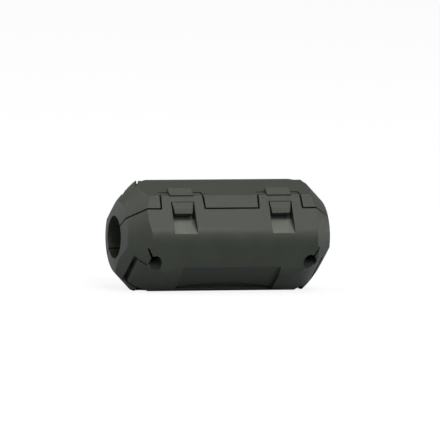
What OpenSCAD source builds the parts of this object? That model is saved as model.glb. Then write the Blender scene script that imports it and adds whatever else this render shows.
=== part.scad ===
// Clip-on ferrite bead for a thin cable.
//
// Two moulded half shells each hold a half ring of ferrite. Two pin hinges join the shells on one
// side, and two snap latches close them on the other. The upper shell is the lid.
//
// The bead is drawn with its parting plane level: X along the cable, the latches towards -Y and
// the lid up. It is then turned about X, so that it lies on one of its flats. Sections are drawn
// in a plane across the cable, with p towards the latches and q up. The origin is on the axis of
// the bore, midway along it. All sizes are in millimetres and degrees.

/* [Ferrite] */
// Outer diameter of the ferrite ring
core_outer_d = 10; // [9:0.5:13]
// Bore for the cable, through the ferrite and both ends of the shells
bore_d = 5; // [4:0.5:5.5]
// Length of the ferrite ring
core_length = 17; // [16:0.5:24]
// Chamfer on the long and end edges of the ferrite
core_chamfer = 0.3; // [0.1:0.1:0.6]
// Play between the ferrite and its shell
core_play = 0.08; // [0.05:0.01:0.12]

/* [Shell] */
// Wall between the room for the ferrite and each outer flat
wall = 1.16; // [1.05:0.05:1.6]
// Length of each end of the shell past the ferrite
end_length = 4.2; // [3.9:0.1:5]
// Angle by which the latch and hinge flats lean out towards the lid
side_lean = 8.5; // [6:0.5:12]
// Radius on the long corners of the shells
corner_r = 2.8; // [2:0.1:3]
// Radius on the crease above the latch and hinge flats
crease_r = 0.8; // [0.4:0.1:1.2]
// Gap between the two shells along their parting line
parting_gap = 0.18; // [0.08:0.02:0.24]

/* [Ends] */
// Diameter of the ring round the cable at the end face
end_ring_d = 8.4; // [7.8:0.1:9]
// How far the end face domes out from that ring to the bore
end_dome = 0.25; // [0.1:0.05:0.4]
// Radius between the end face and the taper
end_edge_r = 0.6; // [0.3:0.1:0.9]
// Thickness of the collar round the cable
collar_wall = 1; // [0.7:0.1:1.2]

/* [Sprung fingers] */
// Width of the finger at each end of each shell
finger_width = 4.76; // [3.6:0.1:5]
// Diameter of the hole beside the root of a finger
finger_hole_d = 1.56; // [1:0.02:1.7]
// Distance from the end of the bead to those holes
finger_hole_inset = 3.2; // [2.8:0.05:3.3]
// Distance from the end of the bead to the slit at the tip of a finger
finger_tip_inset = 1.25; // [1.1:0.05:1.4]
// Width of the slit at the tip
finger_tip_slit = 0.5; // [0.2:0.05:0.6]
// Width of the slits along the sides
finger_side_slit = 0.26; // [0.1:0.02:0.3]
// Slope of the facets that the fingers of the lower shell lie in, against the flat behind them
lower_finger_slope = 50; // [46:1:54]
// Distance from the axis of the bore to those facets at the end ring
lower_finger_edge = 3.2; // [3.1:0.05:3.8]
// Slope of the facets that the fingers of the lid lie in
lid_finger_slope = 47; // [46:1:54]
// Distance from the axis of the bore to the facets of the lid at the end ring
lid_finger_edge = 3.6; // [3.1:0.05:3.8]
// Radius of the bend between a flat and a facet
finger_bend_r = 5.8; // [3:0.1:7]
// Length of the relief slit that runs out of each hole
relief_slit_length = 0.95; // [0.4:0.05:1.2]

/* [Latches] */
// Distance between the two latches, and between the two hinges
latch_spacing = 11.95; // [10:0.05:12.4]
// Width of a latch loop at the parting line
loop_width = 5.18; // [4.6:0.02:5.4]
// How far each side of a loop leans in towards its top
loop_taper = 0.12; // [0:0.02:0.3]
// Height of a loop above the parting line, along the latch flat
loop_height = 2.16; // [2:0.02:2.3]
// Chamfer on the top corners of a loop
loop_chamfer = 0.2; // [0.1:0.05:0.5]
// Thickness of the legs of a loop
loop_leg_depth = 0.8; // [0.7:0.05:0.85]
// Gap all round a loop in its notch
loop_gap = 0.2; // [0.06:0.02:0.24]
// Width of the window in a loop
window_width = 2.8; // [2:0.1:3]
// Height of the bar across the window, along the latch flat
bar_height = 0.75; // [0.4:0.05:0.9]
// Height of the top of the bar above the parting line
bar_top = 1.6; // [1.4:0.05:1.62]
// Thickness of the bar
bar_depth = 0.45; // [0.3:0.05:0.55]
// Clearance between the hook and the loop
hook_clearance = 0.05; // [0.03:0.01:0.1]
// Depth of the tip of the hook below the parting line
hook_reach = 0.56; // [0.4:0.02:0.7]
// How far each side of the hook leans in towards its tip
hook_taper = 0.22; // [0:0.02:0.3]
// Depth of the lead-in slope on the nose of the hook
hook_lead_in = 0.2; // [0.1:0.05:0.35]
// Distance from the parting line to the lower edge of the window
window_drop = 1.06; // [0.9:0.02:1.2]
// Depth of the finger ramp where it meets the window
ramp_depth = 0.75; // [0.5:0.05:0.9]
// Slope of the ramp against the latch flat
ramp_angle = 17; // [14:1:22]
// Width of the hood that covers the top edge of the bar
hood_width = 2.9; // [2.4:0.1:3.2]
// How far the hood stands above the flat over the latch
hood_rise = 0.5; // [0.2:0.05:0.6]
// Length of the hood along that flat
hood_length = 1.15; // [0.9:0.05:1.4]

/* [Hinges] */
// Distance from the axis of the bore to the hinge pins
hinge_distance = 6.5; // [6.4:0.05:6.8]
// Diameter of a hinge pin
pin_d = 1; // [0.8:0.05:1.1]
// Radial running clearance of a knuckle on its pin
pin_clearance = 0.05; // [0.02:0.01:0.08]
// Diameter of a knuckle and of the rounded ears beside it
knuckle_d = 1.8; // [1.6:0.05:1.9]
// Width of a knuckle
knuckle_width = 2.4; // [1.8:0.1:2.8]
// Width of the mouth by which a knuckle snaps on to its pin
knuckle_mouth = 0.8; // [0.5:0.05:0.9]
// Thickness of each ear
ear_width = 0.8; // [0.6:0.05:1]
// Clearance of moving hinge parts to what they pass
hinge_play = 0.1; // [0.06:0.01:0.14]
// Angle at which the hinge stops the lid
open_angle = 101; // [90:1:110]

/* [Label place] */
// Length of the bare label place under the lower shell
label_length = 12; // [8:0.5:13]
// Depth of the label place below the bottom flat
label_depth = 0.43; // [0.2:0.01:0.5]
// Further depth of the curved pocket in it
pocket_depth = 0.3; // [0.1:0.05:0.35]
// Radius of the curved side of the pocket
pocket_r = 17; // [12:0.5:20]

/* [Hidden] */
$fn = 96;

nylon_grey = [0.2, 0.21, 0.18];
ferrite_grey = [0.12, 0.12, 0.13];

// Overshoot that lets a cut pass clean through a face
over = 1;

bore_r = bore_d / 2;
core_r = core_outer_d / 2;
room_r = core_r + core_play;
room_half = core_length / 2 + core_play;
flat_r = room_r + wall;
bead_half = core_length / 2 + end_length;

// Eight flats wrap each section, symmetric about the q axis. Their normals are counted from p.
// corner_radii[i] rounds the corner between flat i and the next one.
flat_normals = [
    -side_lean, 45 - side_lean, 90, 135 + side_lean,
    180 + side_lean, 225 + side_lean, 270, 315 - side_lean
];
corner_radii = [
    crease_r, corner_r, corner_r, crease_r,
    corner_r, corner_r, corner_r, corner_r
];
flat_count = len(flat_normals);
// The bead lies on the flat between its hinges and the label place
lying_turn = 45 - side_lean;
// Height of the crease above the parting line, along the latch flat
crease_height = flat_r * (tan(22.5) - tan(side_lean));
// Where the parting plane cuts the latch flat and the hinge flat
side_p = flat_r / cos(side_lean);

// The end face and the 45 degree taper meet at the end ring
end_ring_r = end_ring_d / 2;
end_ring_x = bead_half - end_dome;
taper_sum = end_ring_r + end_ring_x;
form_r = flat_r * 1.3;
form_steps = 4;

// The chamber round the collar runs parallel to the taper, one wall inside it
collar_r = bore_r + collar_wall;
chamber_sum = taper_sum - wall * sqrt(2);

finger_half = finger_width / 2;
finger_hole_r = finger_hole_d / 2;
finger_hole_x = bead_half - finger_hole_inset;
finger_tip_x = bead_half - finger_tip_inset;
// The inner edge of a hole runs into the slit along the finger
finger_hole_p = finger_half + finger_hole_r - finger_side_slit / 2;
finger_cut_margin = 0.2;
finger_floor = collar_r + finger_cut_margin;
finger_steps = 6;
relief_slit_turn = 55;

window_half = window_width / 2;
bar_bottom = bar_top - bar_height;
hook_half = window_half - 2 * hook_clearance;
notch_depth = loop_leg_depth + hook_clearance;
hook_root = 0.4;
hook_root_top = loop_height + loop_gap + hook_root;
hook_back = wall + hook_root;
hood_gap = 0.06;
hood_lip = 0.05;
// The ramp is drawn past the flat by this much, so that its cut runs out cleanly
ramp_overshoot = 0.2;
ramp_run = (ramp_depth + ramp_overshoot) / tan(ramp_angle);

pin_r = pin_d / 2;
knuckle_r = knuckle_d / 2;
knuckle_bore_r = pin_r + pin_clearance;
sweep_r = knuckle_r + hinge_play;
fork_inner = knuckle_width + 2 * hinge_play;
fork_outer = fork_inner + 2 * ear_width;
ear_x = (fork_inner + ear_width) / 2;
ear_drop = 2.9;
arm_straight = 1;
arm_top = 2.2;
mouth_turn = 250;
stop_gap = 0.03;
ledge_depth = 0.65;
ledge_reach = 0.75;
// How far the ledge runs into the ears at both sides of it
ledge_overlap = 0.1;
// From the axis of the pins inwards to the middle of the wall behind them
hinge_root = hinge_distance - side_p + wall / 2;

label_half = label_length / 2;
label_floor = flat_r - label_depth;
pocket_near = 0.75;
pocket_far = 2.1;

// ---- Helpers -------------------------------------------------------------------------------

function polar(radius, angle) = radius * [cos(angle), sin(angle)];

function flat_normal(i) = flat_normals[i % flat_count] + (i >= flat_count ? 360 : 0);

// Centre of the round between flat i and the next one
function corner_centre(i) =
    let (a = flat_normal(i), b = flat_normal(i + 1))
    polar((flat_r - corner_radii[i]) / cos((b - a) / 2), (a + b) / 2);

// Arc of a fillet between two straight lines that meet at a corner
function fillet(before, corner, after, radius, steps) =
    let (
        u = (before - corner) / norm(before - corner),
        v = (after - corner) / norm(after - corner),
        half = acos(u * v) / 2,
        bisector = (u + v) / norm(u + v),
        centre = corner + bisector * radius / sin(half),
        start = corner + u * radius / tan(half) - centre,
        finish = corner + v * radius / tan(half) - centre,
        from = atan2(start[1], start[0]),
        turn = atan2(finish[1], finish[0]) - from
    )
    [for (i = [0 : steps]) centre + polar(radius, from + turn * i / steps)];

// Extrudes a section along the cable, centred on the origin
module along_cable(length) {
    rotate([90, 0, -90])
        linear_extrude(length, center = true)
            children();
}

// Turns a profile of radius against length about the cable
module turned_about_cable() {
    rotate([0, 90, 0])
        rotate_extrude()
            children();
}

// Places a flat drawing on the latch flat: x along the cable, y up from the parting line, z out
module on_latch_flat() {
    translate([0, -side_p, 0])
        rotate([90 + side_lean, 0, 0])
            children();
}

// Places a section on the latch flat: x out of it, y up from the parting line
module latch_section() {
    translate([side_p, 0])
        rotate(-side_lean)
            children();
}

// Keeps what lies on one side of a level plane: side is 1 above it and -1 below it
module keep_side(side, level) {
    intersection() {
        children();
        translate([0, 0, level + side * form_r])
            cube([2 * bead_half + over, 4 * form_r, 2 * form_r], center = true);
    }
}

module at_both_units() {
    for (side = [-1, 1])
        translate([side * latch_spacing / 2, 0, 0])
            children();
}

module lay_down() {
    rotate([-lying_turn, 0, 0])
        children();
}

// ---- Forms that both shells share ----------------------------------------------------------

module shell_section() {
    polygon([
        for (i = [0 : flat_count - 1], side = [0, 1])
            corner_centre(i) + polar(corner_radii[i], flat_normal(i + side))
    ]);
    for (i = [0 : flat_count - 1])
        translate(corner_centre(i))
            circle(corner_radii[i]);
}

// The domed end faces and the tapers, as one turned form
module end_form() {
    half_profile = concat(
        [[0, bead_half], [bore_r, bead_half]],
        fillet(
            [bore_r, bead_half], [end_ring_r, end_ring_x],
            [form_r, taper_sum - form_r], end_edge_r, form_steps
        ),
        [[form_r, taper_sum - form_r]]
    );
    other_half = [
        for (i = [len(half_profile) - 1 : -1 : 0])
            [half_profile[i][0], -half_profile[i][1]]
    ];
    turned_about_cable()
        polygon(concat(half_profile, other_half));
}

module outer_form() {
    intersection() {
        along_cable(2 * bead_half + over)
            shell_section();
        end_form();
    }
}

// Room for the ferrite, the chambers past its ends and the way through for the cable
module inner_room() {
    rotate([0, 90, 0])
        cylinder(r = room_r, h = 2 * room_half, center = true);
    rotate([0, 90, 0])
        cylinder(r = bore_r, h = 2 * bead_half + over, center = true);
    for (side = [-1, 1])
        turned_about_cable()
            polygon([
                [collar_r, side * room_half],
                [collar_r - over / 4, side * (room_half - over)],
                [room_r, side * (room_half - over)],
                [room_r, side * (chamber_sum - room_r)],
                [collar_r, side * (chamber_sum - collar_r)]
            ]);
}

// Plan of the cuts that free one finger, with x away from the middle of the bead and y across it
module finger_plan() {
    translate([finger_tip_x - finger_tip_slit / 2, -finger_half - finger_side_slit])
        square([finger_tip_slit, finger_width + 2 * finger_side_slit]);
    for (flip = [0, 1])
        mirror([0, flip])
            finger_side_plan();
}

// One side of a finger: the slit along it, the hole that the slit ends in and its relief slit
module finger_side_plan() {
    translate([finger_hole_x, finger_half])
        square([finger_tip_x - finger_hole_x, finger_side_slit]);
    translate([finger_hole_x, finger_hole_p])
        circle(finger_hole_r);
    translate([finger_hole_x, finger_hole_p])
        rotate(relief_slit_turn)
            translate([0, -finger_side_slit / 2])
                square([finger_hole_r + relief_slit_length, finger_side_slit]);
}

// What the facets of the fingers take off the flat and the tapers of one shell
module finger_facets(side, slope, edge) {
    facet_end = end_ring_x + over;
    corner = [end_ring_x - (flat_r - edge) / tan(slope), flat_r];
    facet_tip = [facet_end, edge - over * tan(slope)];
    bend = fillet([0, flat_r], corner, facet_tip, finger_bend_r, finger_steps);
    outside = [facet_tip, [facet_end, form_r], [corner[0] - finger_bend_r, form_r]];
    for (turn = [0, 180])
        rotate(turn)
            mirror([0, 0, side > 0 ? 0 : 1])
                rotate([90, 0, 0])
                    linear_extrude(2 * form_r, center = true)
                        polygon(concat(bend, outside));
}

// Cuts for the fingers at both ends of the shell on one side of the parting plane
module finger_cuts(side) {
    for (turn = [0, 180])
        rotate(turn)
            translate([0, 0, side > 0 ? finger_floor : -finger_floor - form_r])
                linear_extrude(form_r)
                    finger_plan();
}

// ---- Latches -------------------------------------------------------------------------------

// Face of a latch loop, or of the notch that it sits in when grown by a gap
module loop_face(grow) {
    half = loop_width / 2 + grow;
    top_half = half - loop_taper;
    top = loop_height + grow;
    polygon([
        [-half, -window_drop],
        [-half, 0],
        [-top_half, top - loop_chamfer],
        [-top_half + loop_chamfer, top],
        [top_half - loop_chamfer, top],
        [top_half, top - loop_chamfer],
        [half, 0],
        [half, -window_drop]
    ]);
}

module latch_loop() {
    difference() {
        intersection() {
            outer_form();
            on_latch_flat()
                translate([0, 0, -loop_leg_depth])
                    linear_extrude(loop_leg_depth + over)
                        loop_face(0);
        }
        // Room for the hook behind the bar
        on_latch_flat()
            translate([-window_half, -window_drop, -loop_leg_depth - over])
                cube([window_width, loop_height + 2 * over, loop_leg_depth + over - bar_depth]);
        // Room above the bar
        on_latch_flat()
            translate([-hood_width / 2 - hook_clearance, bar_top, -2 * over])
                cube([hood_width + 2 * hook_clearance, 2 * over, 4 * over]);
        latch_window();
    }
}

module latch_window() {
    on_latch_flat()
        translate([-window_half, -window_drop, -2 * over])
            cube([window_width, window_drop + bar_bottom, 4 * over]);
}

module finger_ramp() {
    along_cable(window_width)
        latch_section()
            polygon([
                [-ramp_depth, -window_drop],
                [ramp_overshoot, -window_drop - ramp_run],
                [over, -window_drop - ramp_run],
                [over, -window_drop]
            ]);
}

module loop_notch() {
    on_latch_flat()
        translate([0, 0, -notch_depth])
            linear_extrude(notch_depth + over)
                loop_face(loop_gap);
}

// Neck behind the bar, and the nose that catches under it
module hook() {
    neck_front = -bar_depth - hook_clearance;
    nose_top = bar_bottom - hook_clearance;
    tip_half = hook_half - hook_taper;
    intersection() {
        along_cable(2 * hook_half)
            latch_section()
                polygon([
                    [-hook_back, hook_root_top],
                    [neck_front, hook_root_top],
                    [neck_front, nose_top],
                    [0, nose_top],
                    [0, 0],
                    [-hook_lead_in, -hook_reach],
                    [-hook_back, -hook_reach]
                ]);
        on_latch_flat()
            translate([0, 0, -hook_back])
                linear_extrude(hook_back + over)
                    polygon([
                        [-tip_half, -hook_reach],
                        [-hook_half, nose_top],
                        [-hook_half, hook_root_top],
                        [hook_half, hook_root_top],
                        [hook_half, nose_top],
                        [tip_half, -hook_reach]
                    ]);
    }
}

// Raised hood over the top edge of the bar
module hood() {
    crease = [0, crease_height];
    up_flat = [-sin(45), cos(45)];
    out_of_flat = [cos(45), sin(45)];
    along_cable(hood_width)
        latch_section()
            polygon([
                [-notch_depth, bar_top + hood_gap],
                [hood_lip, bar_top + hood_gap],
                crease + hood_length * up_flat + hood_rise * out_of_flat,
                crease + (hood_length + hood_rise / 2) * up_flat,
                crease + (hood_length + hood_rise / 2) * up_flat - out_of_flat / 2
            ]);
}

// ---- Hinges --------------------------------------------------------------------------------

module at_pin() {
    translate([-hinge_distance, 0])
        children();
}

// Ear that carries one end of a pin
module ear_section() {
    at_pin() {
        circle(knuckle_r);
        polygon([
            [-knuckle_r, 0],
            [knuckle_r, 0],
            [hinge_root, -knuckle_r],
            [hinge_root, -ear_drop + wall / 2],
            [hinge_root - wall / 2 + ear_drop * tan(side_lean), -ear_drop]
        ]);
    }
}

// Ledge that meets the arm of the knuckle and stops the lid
module ledge_section() {
    at_pin()
        rotate(open_angle)
            translate([-knuckle_r - stop_gap - ledge_depth, -hinge_root])
                square([ledge_depth, hinge_root + ledge_reach]);
}

module hinge_fork() {
    for (side = [-1, 1])
        translate([side * ear_x, 0, 0])
            along_cable(ear_width)
                ear_section();
    along_cable(fork_outer)
        at_pin()
            circle(pin_r);
    along_cable(fork_inner + 2 * ledge_overlap)
        ledge_section();
}

module knuckle_section() {
    difference() {
        at_pin() {
            circle(knuckle_r);
            polygon([
                [-knuckle_r, 0],
                [-knuckle_r, arm_straight],
                [0, arm_top],
                [hinge_root, arm_top],
                [hinge_root, knuckle_r],
                [knuckle_r, 0]
            ]);
        }
        at_pin() {
            circle(knuckle_bore_r);
            rotate(mouth_turn)
                translate([0, -knuckle_mouth / 2])
                    square([2 * knuckle_r, knuckle_mouth]);
        }
    }
}

// Room that a turning part of the hinge sweeps, over a width along the cable
module hinge_sweep(width) {
    along_cable(width)
        at_pin()
            circle(sweep_r);
}

// ---- Label place ---------------------------------------------------------------------------

module label_place() {
    translate([-label_half, -form_r, -label_floor - form_r])
        cube([label_length, 2 * form_r, form_r]);
    intersection() {
        translate([0, pocket_near + pocket_r, -label_floor - over])
            cylinder(r = pocket_r, h = over + pocket_depth);
        translate([-label_half, 0, -label_floor - over])
            cube([label_length, pocket_far, 2 * over]);
    }
}

// ---- Pieces --------------------------------------------------------------------------------

module lower_shell() {
    color(nylon_grey)
        lay_down() {
            difference() {
                union() {
                    keep_side(-1, -parting_gap / 2)
                        outer_form();
                    at_both_units()
                        latch_loop();
                }
                inner_room();
                finger_cuts(-1);
                finger_facets(-1, lower_finger_slope, lower_finger_edge);
                label_place();
                at_both_units() {
                    latch_window();
                    finger_ramp();
                    hinge_sweep(fork_inner);
                }
            }
            at_both_units()
                hinge_fork();
        }
}

module upper_shell() {
    color(nylon_grey)
        lay_down() {
            difference() {
                union() {
                    difference() {
                        keep_side(1, parting_gap / 2)
                            outer_form();
                        at_both_units()
                            loop_notch();
                    }
                    at_both_units() {
                        hook();
                        hood();
                    }
                }
                inner_room();
                finger_cuts(1);
                finger_facets(1, lid_finger_slope, lid_finger_edge);
                at_both_units()
                    hinge_sweep(fork_outer + 2 * hinge_play);
            }
            at_both_units()
                along_cable(knuckle_width)
                    knuckle_section();
        }
}

// Half ring of ferrite on one side of the parting plane
module half_core(side) {
    half = core_length / 2;
    color(ferrite_grey)
        lay_down()
            keep_side(side, 0)
                turned_about_cable()
                    polygon([
                        [bore_r, -half],
                        [core_r - core_chamfer, -half],
                        [core_r, -half + core_chamfer],
                        [core_r, half - core_chamfer],
                        [core_r - core_chamfer, half],
                        [bore_r, half]
                    ]);
}

module lower_core() half_core(-1);

module upper_core() half_core(1);

lower_shell();
lower_core();
upper_shell();
upper_core();
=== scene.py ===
import math

import bpy
from mathutils import Matrix, Vector


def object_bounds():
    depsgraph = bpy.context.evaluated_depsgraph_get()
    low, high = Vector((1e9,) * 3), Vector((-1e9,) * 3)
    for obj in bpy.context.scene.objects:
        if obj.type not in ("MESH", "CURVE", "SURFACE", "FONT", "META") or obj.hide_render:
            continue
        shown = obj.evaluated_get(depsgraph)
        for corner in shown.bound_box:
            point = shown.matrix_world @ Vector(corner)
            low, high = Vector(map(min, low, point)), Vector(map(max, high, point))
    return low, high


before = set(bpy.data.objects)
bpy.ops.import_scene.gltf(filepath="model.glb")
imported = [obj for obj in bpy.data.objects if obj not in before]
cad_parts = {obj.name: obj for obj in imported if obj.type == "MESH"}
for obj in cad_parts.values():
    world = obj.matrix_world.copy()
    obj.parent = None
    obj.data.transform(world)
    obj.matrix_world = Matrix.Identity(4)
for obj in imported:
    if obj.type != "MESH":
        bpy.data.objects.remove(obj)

cad_low, cad_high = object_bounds()

MM = 0.001
FLOOR_Z = cad_low[2]
# The bead lies turned about X, so its parting plane leans by this angle
PARTING_TURN = math.radians(-36.5)


# ---- Camera -------------------------------------------------------------------------------

# The photograph, 440 pixels wide, shows 51.34 mm at the bead. The origin is at CENTRE_PIXEL in it.
PIXELS = 440
FIELD = 51.34 * MM
AZIMUTH, ELEVATION, ROLL = math.radians(-18.6), math.radians(5.2), math.radians(1.25)
DISTANCE = 1.5
CENTRE_PIXEL = (217.7, 236.2)
# In millimetres, as Blender counts a lens
SENSOR_WIDTH = 36.0
CLIP = (0.05, 20.0)


def direction(azimuth, elevation):
    """Unit vector from the bead: azimuth 0 is the front, -Y, and it grows towards +X."""
    return Vector((
        math.sin(azimuth) * math.cos(elevation),
        -math.cos(azimuth) * math.cos(elevation),
        math.sin(elevation),
    ))


def make_camera():
    data = bpy.data.cameras.new("Camera")
    data.sensor_width = SENSOR_WIDTH
    data.lens = SENSOR_WIDTH * DISTANCE / FIELD
    data.clip_start, data.clip_end = CLIP
    camera = bpy.data.objects.new("Camera", data)
    bpy.context.scene.collection.objects.link(camera)
    back = direction(AZIMUTH, ELEVATION)
    turn = (-back).to_track_quat("-Z", "Y").to_matrix() @ Matrix.Rotation(ROLL, 3, "Z")
    right, up = turn @ Vector((1, 0, 0)), turn @ Vector((0, 1, 0))
    per_pixel = FIELD / PIXELS
    aim = (PIXELS / 2 - CENTRE_PIXEL[0]) * per_pixel * right
    aim -= (PIXELS / 2 - CENTRE_PIXEL[1]) * per_pixel * up
    camera.matrix_world = Matrix.Translation(aim + back * DISTANCE) @ turn.to_4x4()
    bpy.context.scene.camera = camera


# ---- Node helpers -------------------------------------------------------------------------

# The Mix node's colour sockets, by number because its other kinds of socket have the same names
MIX_A, MIX_B, MIX_RESULT = 6, 7, 2
# Rays for each sample of the Bevel and Ambient Occlusion nodes
RAYS = 8
# Turn of a rounded edge, as 1 minus the cosine, where it starts to show wear and where it is full
EDGE_TURN = (0.01, 0.25)
# Cosine to a given normal, below which a face doesn't count as turned to it and above which it does
FACE_TURN = (0.985, 0.998)


class Shader:
    """A node material with short calls for the nodes that the materials here share."""

    def __init__(self, name):
        self.material = bpy.data.materials.new(name)
        self.material.use_nodes = True
        self.nodes = self.material.node_tree.nodes
        self.bsdf = self.nodes["Principled BSDF"]
        self.place = self.add("ShaderNodeTexCoord").outputs["Object"]

    def add(self, kind, **settings):
        node = self.nodes.new(kind)
        for key, value in settings.items():
            setattr(node, key, value)
        return node

    def link(self, output, socket):
        if isinstance(output, bpy.types.NodeSocket):
            self.material.node_tree.links.new(output, socket)
        else:
            socket.default_value = output

    def math(self, operation, a, b=0.0):
        node = self.add("ShaderNodeMath", operation=operation)
        self.link(a, node.inputs[0])
        self.link(b, node.inputs[1])
        return node.outputs[0]

    def noise(self, size, detail=2.0, stretch=None):
        """Noise whose features are about size metres across, longer along a stretched axis."""
        vector = self.place
        if stretch:
            mapping = self.add("ShaderNodeMapping")
            mapping.inputs["Rotation"].default_value = (-PARTING_TURN, 0, 0)
            mapping.inputs["Scale"].default_value = stretch
            self.link(vector, mapping.inputs["Vector"])
            vector = mapping.outputs["Vector"]
        node = self.add("ShaderNodeTexNoise")
        node.inputs["Scale"].default_value = 1 / size
        node.inputs["Detail"].default_value = detail
        self.link(vector, node.inputs["Vector"])
        return node.outputs["Fac"]

    def spread(self, value, low, high, out_low=0.0, out_high=1.0):
        """Value mapped smoothly from low..high to out_low..out_high, and held at the ends."""
        node = self.add("ShaderNodeMapRange", interpolation_type="SMOOTHSTEP")
        self.link(value, node.inputs["Value"])
        ends = {"From Min": low, "From Max": high, "To Min": out_low, "To Max": out_high}
        for name, number in ends.items():
            node.inputs[name].default_value = number
        return node.outputs["Result"]

    def mix(self, factor, a, b):
        node = self.add("ShaderNodeMix", data_type="RGBA")
        self.link(factor, node.inputs["Factor"])
        self.link(a, node.inputs[MIX_A])
        self.link(b, node.inputs[MIX_B])
        return node.outputs[MIX_RESULT]

    def rounded(self, radius):
        """Normal with the edges rounded to a radius, and a mask of where it rounds them."""
        bevel = self.add("ShaderNodeBevel", samples=RAYS)
        bevel.inputs["Radius"].default_value = radius
        flat = self.add("ShaderNodeNewGeometry").outputs["Normal"]
        dot = self.add("ShaderNodeVectorMath", operation="DOT_PRODUCT")
        self.link(bevel.outputs["Normal"], dot.inputs[0])
        self.link(flat, dot.inputs[1])
        edge = self.spread(self.math("SUBTRACT", 1.0, dot.outputs["Value"]), *EDGE_TURN)
        return bevel.outputs["Normal"], edge

    def open_to_air(self, distance):
        """1 on open surfaces, falling to 0 deep in gaps and corners."""
        node = self.add("ShaderNodeAmbientOcclusion", samples=RAYS, only_local=True)
        node.inputs["Distance"].default_value = distance
        return node.outputs["AO"]

    def face(self, normal, lift, height):
        """1 on flat faces by their normal and by their range of Y and of Z in millimetres."""
        place = self.add("ShaderNodeSeparateXYZ")
        self.link(self.place, place.inputs[0])
        facing = self.add("ShaderNodeVectorMath", operation="DOT_PRODUCT")
        self.link(self.add("ShaderNodeTexCoord").outputs["Normal"], facing.inputs[0])
        facing.inputs[1].default_value = normal
        mask = self.spread(facing.outputs["Value"], *FACE_TURN)
        for value, (low, high) in ((place.outputs["Y"], lift), (place.outputs["Z"], height)):
            mask = self.math("MULTIPLY", mask, self.math("GREATER_THAN", value, low * MM))
            mask = self.math("MULTIPLY", mask, self.math("LESS_THAN", value, high * MM))
        return mask

    def turned(self):
        """Coordinates X along the cable, Y across it and Z away from the parting plane."""
        turn = self.add("ShaderNodeVectorRotate", rotation_type="X_AXIS")
        turn.inputs["Angle"].default_value = -PARTING_TURN
        self.link(self.place, turn.inputs["Vector"])
        place = self.add("ShaderNodeSeparateXYZ")
        self.link(turn.outputs["Vector"], place.inputs[0])
        return place.outputs

    def finger_holes(self):
        """1 on the walls of the holes beside the fingers, and 0 on the bore below them."""
        place = self.turned()
        along = self.math("SUBTRACT", self.math("ABSOLUTE", place["X"]), HOLE_AXES[0])
        across = self.math("SUBTRACT", self.math("ABSOLUTE", place["Y"]), HOLE_AXES[1])
        along, across = self.math("MULTIPLY", along, along), self.math("MULTIPLY", across, across)
        near = self.math("LESS_THAN", self.math("ADD", along, across), HOLE_RADIUS ** 2)
        outside = self.math("GREATER_THAN", self.math("ABSOLUTE", place["Z"]), HOLE_FLOOR)
        return self.math("MULTIPLY", near, outside)

    def bump(self, height, depth, normal):
        node = self.add("ShaderNodeBump")
        node.inputs["Distance"].default_value = depth
        self.link(height, node.inputs["Height"])
        self.link(normal, node.inputs["Normal"])
        return node.outputs["Normal"]


# ---- Materials ----------------------------------------------------------------------------

# Ramps in the lower shell and noses of the lid's hooks: the normal, and the range of Y and of Z in
# millimetres
RAMP = ((0, -0.707, 0.707), (-6.6, -4.85), (0.85, 2.55))
NOSE = ((0, -0.99, 0.14), (-5.25, -5.0), (3.1, 3.8))
# Where the axes of the holes beside the fingers lie along the cable and across it, the radius of
# the holes, and how far from the parting plane they end, short of the bore
HOLE_AXES = (9.5 * MM, 3.03 * MM)
HOLE_RADIUS = 0.8 * MM
HOLE_FLOOR = 2.8 * MM
# The mating faces of the cores lie within this distance of the parting plane
MATING_REACH = 0.3 * MM

NYLON_IOR = 1.5
NYLON_EDGE = 0.09 * MM
NYLON_DARK, NYLON_LIGHT = (0.0295, 0.0343, 0.0224, 1), (0.0366, 0.0421, 0.0275, 1)
NYLON_FLECK = (0.0485, 0.0536, 0.0380, 1)
NYLON_RUBBED = (0.0640, 0.0700, 0.0510, 1)
# Near-black colour of the painted shade in gaps, corners and the holes beside the fingers
NYLON_PAINTED_SHADE = (0.0088, 0.0096, 0.0080, 1)
NYLON_SLID = (0.0680, 0.0740, 0.0540, 1)
# Size of the slow relief and of the grain, and how high each stands
PEEL, PEEL_HEIGHT = 0.9 * MM, 0.014 * MM
GRAIN, GRAIN_HEIGHT = 0.13 * MM, 0.009 * MM
# Painted shade darkens gaps and corners where something stands within this distance
PAINTED_SHADE_REACH = 3.0 * MM

FERRITE_IOR = 1.7
FERRITE_EDGE = 0.12 * MM
FERRITE_DARK, FERRITE_LIGHT = (0.016, 0.016, 0.017, 1), (0.027, 0.027, 0.028, 1)
FERRITE_GROUND = (0.048, 0.048, 0.051, 1)
FERRITE_PORE = (0.008, 0.008, 0.009, 1)
FERRITE_CHIP = (0.075, 0.074, 0.074, 1)
PORE, PORE_DEPTH = 0.16 * MM, 0.006 * MM
GROUND_LINE, GROUND_LINE_HEIGHT = 0.12 * MM, 0.004 * MM


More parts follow.
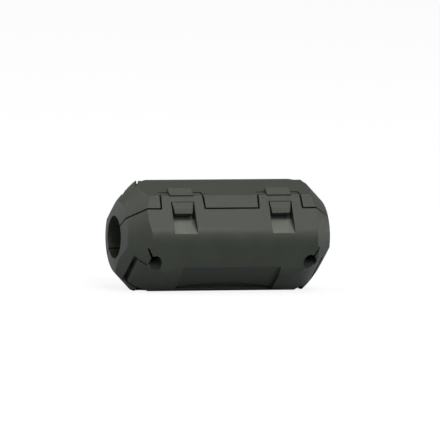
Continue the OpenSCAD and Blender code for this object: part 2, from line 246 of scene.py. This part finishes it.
def nylon():
    """Dark olive grey moulded nylon: satin, with a fine grain, slow mottling, rubbed edges and
    painted shade in its gaps, corners and holes.
    """
    s = Shader("moulded_nylon")
    normal, edge = s.rounded(NYLON_EDGE)
    mottle = s.spread(s.noise(3.2 * MM, detail=3.0), 0.3, 0.7)
    grain = s.noise(GRAIN, detail=3.0)
    peel = s.noise(PEEL, detail=4.0)

    colour = s.mix(mottle, NYLON_DARK, NYLON_LIGHT)
    fleck = s.math("MULTIPLY", s.spread(grain, 0.54, 0.72), 0.5)
    colour = s.mix(fleck, colour, NYLON_FLECK)
    rubbed = s.math("MULTIPLY", edge, s.spread(s.noise(0.8 * MM), 0.35, 0.65, 0.2, 0.75))
    colour = s.mix(rubbed, colour, NYLON_RUBBED)
    holes = s.finger_holes()
    # Painted shade: the colour darkens to near-black in gaps, corners and the holes beside the
    # fingers, where shade falls
    corners = s.spread(s.open_to_air(PAINTED_SHADE_REACH), 0.05, 0.28, 0.85, 0.0)
    painted_shade = s.math("MAXIMUM", corners, s.math("MULTIPLY", holes, 0.9))
    colour = s.mix(painted_shade, colour, NYLON_PAINTED_SHADE)
    # The hooks slide over the ramps and their own noses each time the lid clicks shut
    slid = s.math("ADD", s.face(*RAMP), s.face(*NOSE))
    streaks = s.spread(s.noise(0.16 * MM, detail=3.0, stretch=(1, 0.08, 0.08)), 0.3, 0.7, 0.75, 1.0)
    slid = s.math("MULTIPLY", slid, streaks)
    colour = s.mix(slid, colour, NYLON_SLID)
    s.link(colour, s.bsdf.inputs["Base Color"])

    rough = s.spread(mottle, 0.0, 1.0, 0.41, 0.46)
    rough = s.math("ADD", rough, s.spread(grain, 0.35, 0.65, -0.03, 0.04))
    polished = s.math("MULTIPLY", s.math("MAXIMUM", rubbed, slid), 0.10)
    rough = s.math("SUBTRACT", rough, polished)
    rough = s.math("ADD", rough, s.math("MULTIPLY", holes, 0.35))
    s.link(rough, s.bsdf.inputs["Roughness"])

    normal = s.bump(peel, PEEL_HEIGHT, normal)
    normal = s.bump(grain, GRAIN_HEIGHT, normal)
    s.link(normal, s.bsdf.inputs["Normal"])
    s.bsdf.inputs["IOR"].default_value = NYLON_IOR
    return s.material


def ferrite():
    """Near-black sintered ferrite with pores and chipped edges, ground on its mating faces."""
    s = Shader("sintered_ferrite")
    normal, edge = s.rounded(FERRITE_EDGE)
    solid = s.spread(s.noise(PORE, detail=4.0), 0.30, 0.42)
    clouds = s.noise(2.2 * MM, detail=3.0)
    lines = s.noise(GROUND_LINE, detail=2.0, stretch=(0.04, 1, 1))

    mating = s.add("ShaderNodeVectorMath", operation="DOT_PRODUCT")
    s.link(s.add("ShaderNodeTexCoord").outputs["Normal"], mating.inputs[0])
    mating.inputs[1].default_value = (0, -math.sin(PARTING_TURN), math.cos(PARTING_TURN))
    ground = s.spread(s.math("ABSOLUTE", mating.outputs["Value"]), 0.97, 0.995)
    # The bottom of the bore faces the same way, and isn't ground
    at_parting = s.math("LESS_THAN", s.math("ABSOLUTE", s.turned()["Z"]), MATING_REACH)
    ground = s.math("MULTIPLY", ground, at_parting)

    colour = s.mix(clouds, FERRITE_DARK, FERRITE_LIGHT)
    scored = s.math("MULTIPLY", ground, s.spread(lines, 0.4, 0.6, 0.2, 0.7))
    colour = s.mix(scored, colour, FERRITE_GROUND)
    colour = s.mix(solid, FERRITE_PORE, colour)
    chips = s.math("MULTIPLY", edge, s.spread(s.noise(0.5 * MM, detail=3.0), 0.5, 0.62))
    colour = s.mix(chips, colour, FERRITE_CHIP)
    s.link(colour, s.bsdf.inputs["Base Color"])

    rough = s.spread(ground, 0.0, 1.0, 0.72, 0.52)
    rough = s.math("ADD", rough, s.math("MULTIPLY", chips, 0.2))
    rough = s.math("ADD", rough, s.spread(lines, 0.35, 0.65, -0.04, 0.04))
    s.link(rough, s.bsdf.inputs["Roughness"])

    normal = s.bump(s.math("MULTIPLY", lines, ground), GROUND_LINE_HEIGHT, normal)
    normal = s.bump(solid, PORE_DEPTH, normal)
    s.link(normal, s.bsdf.inputs["Normal"])
    s.bsdf.inputs["IOR"].default_value = FERRITE_IOR
    return s.material


def dress():
    finishes = {"shell": nylon(), "core": ferrite()}
    for name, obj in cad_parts.items():
        obj.data.materials.clear()
        obj.data.materials.append(finishes[name.split("_")[1]])


# ---- Floor, light and world -----------------------------------------------------------------

FLOOR_HALF = 2.0
# The camera sees a dim floor with a lift of its own light, so that it reads as the white of the
# photograph and keeps a soft shadow. All other rays meet a plain grey that gives no light.
FLOOR_SEEN = (0.20, 0.20, 0.20, 1)
FLOOR_LIFT = 0.84
FLOOR_GREY = (0.48, 0.51, 0.55, 1)
FLOOR_ROUGHNESS = 0.9
WHITE = (1, 1, 1, 1)


def make_floor():
    sides = ((-1, -1), (1, -1), (1, 1), (-1, 1))
    corners = [(x * FLOOR_HALF, y * FLOOR_HALF, FLOOR_Z) for x, y in sides]
    mesh = bpy.data.meshes.new("floor")
    mesh.from_pydata(corners, [], [(0, 1, 2, 3)])
    floor = bpy.data.objects.new("floor", mesh)
    bpy.context.scene.collection.objects.link(floor)
    s = Shader("floor_white")
    seen = s.add("ShaderNodeLightPath").outputs["Is Camera Ray"]
    s.link(s.mix(seen, FLOOR_GREY, FLOOR_SEEN), s.bsdf.inputs["Base Color"])
    s.bsdf.inputs["Emission Color"].default_value = WHITE
    s.link(s.math("MULTIPLY", seen, FLOOR_LIFT), s.bsdf.inputs["Emission Strength"])
    s.bsdf.inputs["Roughness"].default_value = FLOOR_ROUGHNESS
    s.bsdf.inputs["Specular IOR Level"].default_value = 0.0
    mesh.materials.append(s.material)


LAMP_DISTANCE = 0.8
# Azimuth from the camera's, elevation, side of the square lamp in metres and power in watts
LAMPS = {
    "key": (20, 40, 0.35, 3.12),
    "top": (85, 75, 0.35, 1.20),
    "left": (-90, 22, 0.90, 2.80),
    "left_back": (-140, 6, 0.35, 0.20),
    "right_end": (112, 6, 0.35, 0.92),
    "right_low": (50, 6, 0.35, 0.40),
}


def make_lamps():
    for name, (azimuth, elevation, side, power) in LAMPS.items():
        data = bpy.data.lights.new(name, "AREA")
        data.size, data.energy = side, power
        lamp = bpy.data.objects.new(name, data)
        bpy.context.scene.collection.objects.link(lamp)
        away = direction(AZIMUTH + math.radians(azimuth), math.radians(elevation))
        lamp.location = away * LAMP_DISTANCE
        lamp.rotation_euler = (-away).to_track_quat("-Z", "Y").to_euler()


# The camera sees the world as white, and all other rays meet it at this level
WORLD_LEVEL = 0.33


def make_world():
    world = bpy.data.worlds.new("world")
    bpy.context.scene.world = world
    world.use_nodes = True
    nodes, links = world.node_tree.nodes, world.node_tree.links
    seen = nodes.new("ShaderNodeLightPath").outputs["Is Camera Ray"]
    level = nodes.new("ShaderNodeMapRange")
    level.inputs["To Min"].default_value = WORLD_LEVEL
    level.inputs["To Max"].default_value = 1.0
    links.new(seen, level.inputs["Value"])
    links.new(level.outputs["Result"], nodes["Background"].inputs["Strength"])
    nodes["Background"].inputs["Color"].default_value = WHITE


make_camera()
dress()
make_floor()
make_lamps()
make_world()
bpy.context.scene.view_settings.view_transform = "Standard"
